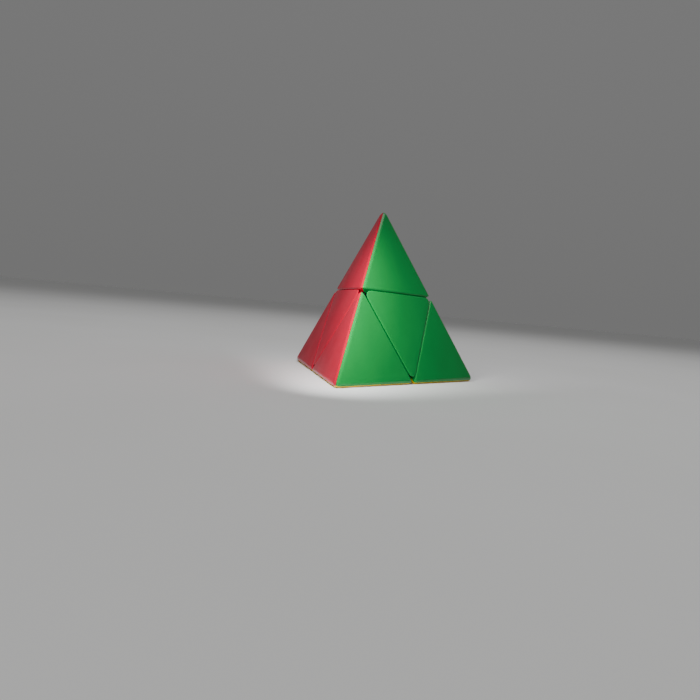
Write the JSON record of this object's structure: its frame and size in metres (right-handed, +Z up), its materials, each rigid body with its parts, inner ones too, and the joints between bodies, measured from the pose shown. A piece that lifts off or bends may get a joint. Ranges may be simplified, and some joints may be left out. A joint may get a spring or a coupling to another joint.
{
  "type": "pyramid twisty puzzle",
  "caption": "Tetrahedral twisty puzzle with coloured faces, cut through its middle along three square axes, on a sprung ball mechanism.",
  "frame": {"origin": "middle of the bottom face, on the surface the puzzle stands on", "axes": "+Z up to the apex; -Y to the bottom corner of the front tip; +X to the right of someone who looks along +Y"},
  "size_m": [0.0844, 0.0732, 0.0689],
  "materials": {
    "yellow_shell": "satin, moulded in colour",
    "blue_shell": "satin, moulded in colour",
    "red_shell": "satin, moulded in colour",
    "green_shell": "satin, moulded in colour",
    "inner_plastic": "fine matt",
    "ball_plastic": "satin nylon",
    "screw_steel": "zinc plated",
    "spring_steel": "drawn wire"
  },
  "bodies": {
    "core_group": {"core": "ball_plastic", "fixed_centre_back_down": "ball_plastic", "fixed_centre_left_down": "ball_plastic", "fixed_centre_right_down": "ball_plastic", "screw_front_up": "screw_steel", "screw_right_up": "screw_steel", "screw_left_up": "screw_steel", "screw_back_down": "screw_steel", "screw_left_down": "screw_steel", "screw_right_down": "screw_steel", "spring_back_down": "spring_steel", "spring_left_down": "spring_steel", "spring_right_down": "spring_steel", "inner_edge_back_down_left_down": "inner_plastic", "inner_edge_left_down_right_down": "inner_plastic", "inner_edge_right_down_back_down": "inner_plastic", "bottom_piece_body": "inner_plastic", "bottom_piece_yellow_shell": "yellow_shell"},
    "front_layer": {"turning_centre_front_up": "ball_plastic", "spring_front_up": "spring_steel", "inner_edge_front_up_left_down": "inner_plastic", "inner_edge_right_down_front_up": "inner_plastic", "front_tip_body": "inner_plastic", "front_tip_green_shell": "green_shell", "front_tip_red_shell": "red_shell", "front_tip_yellow_shell": "yellow_shell"},
    "right_layer": {"turning_centre_right_up": "ball_plastic", "spring_right_up": "spring_steel", "inner_edge_back_down_right_up": "inner_plastic", "inner_edge_right_up_right_down": "inner_plastic", "right_tip_body": "inner_plastic", "right_tip_green_shell": "green_shell", "right_tip_blue_shell": "blue_shell", "right_tip_yellow_shell": "yellow_shell"},
    "left_layer": {"turning_centre_left_up": "ball_plastic", "spring_left_up": "spring_steel", "inner_edge_left_down_left_up": "inner_plastic", "inner_edge_left_up_back_down": "inner_plastic", "left_tip_body": "inner_plastic", "left_tip_red_shell": "red_shell", "left_tip_blue_shell": "blue_shell", "left_tip_yellow_shell": "yellow_shell"},
    "right_face_group": {"inner_edge_front_up_right_up": "inner_plastic", "right_piece_body": "inner_plastic", "right_piece_green_shell": "green_shell"},
    "left_face_group": {"inner_edge_left_up_front_up": "inner_plastic", "left_piece_body": "inner_plastic", "left_piece_red_shell": "red_shell"},
    "back_face_group": {"inner_edge_right_up_left_up": "inner_plastic", "back_piece_body": "inner_plastic", "back_piece_blue_shell": "blue_shell"},
    "apex_group": {"apex_tip_body": "inner_plastic", "apex_tip_green_shell": "green_shell", "apex_tip_red_shell": "red_shell", "apex_tip_blue_shell": "blue_shell"}
  },
  "joints": [
    {"name": "front_layer_turn", "type": "hinge", "parent": "core_group", "child": "front_layer", "pos_m": [0, 0, 0.01796], "axis": [0, -0.8165, 0.5774], "continuous": true},
    {"name": "right_layer_turn", "type": "hinge", "parent": "core_group", "child": "right_layer", "pos_m": [0, 0, 0.01796], "axis": [0.7071, 0.4082, 0.5774], "range_deg": [-360, 360]},
    {"name": "left_layer_turn", "type": "hinge", "parent": "core_group", "child": "left_layer", "pos_m": [0, 0, 0.01796], "axis": [-0.7071, 0.4082, 0.5774], "range_deg": [-360, 360]},
    {"name": "right_face_with_right_layer", "type": "hinge", "parent": "front_layer", "child": "right_face_group", "pos_m": [0, 0, 0.01796], "axis": [0.7071, 0.4082, 0.5774], "range_deg": [-360, 360]},
    {"name": "left_face_with_left_layer", "type": "hinge", "parent": "front_layer", "child": "left_face_group", "pos_m": [0, 0, 0.01796], "axis": [-0.7071, 0.4082, 0.5774], "range_deg": [-360, 360]},
    {"name": "back_face_with_left_layer", "type": "hinge", "parent": "right_layer", "child": "back_face_group", "pos_m": [0, 0, 0.01796], "axis": [-0.7071, 0.4082, 0.5774], "range_deg": [-360, 360]},
    {"name": "apex_with_left_layer", "type": "hinge", "parent": "right_face_group", "child": "apex_group", "pos_m": [0, 0, 0.01796], "axis": [-0.7071, 0.4082, 0.5774], "range_deg": [-360, 360]}
  ],
  "couplings": [
    {"joint": "right_face_with_right_layer", "follows": "right_layer_turn", "ratio": 1},
    {"joint": "left_face_with_left_layer", "follows": "left_layer_turn", "ratio": 1},
    {"joint": "back_face_with_left_layer", "follows": "left_layer_turn", "ratio": 1},
    {"joint": "apex_with_left_layer", "follows": "left_layer_turn", "ratio": 1}
  ]
}
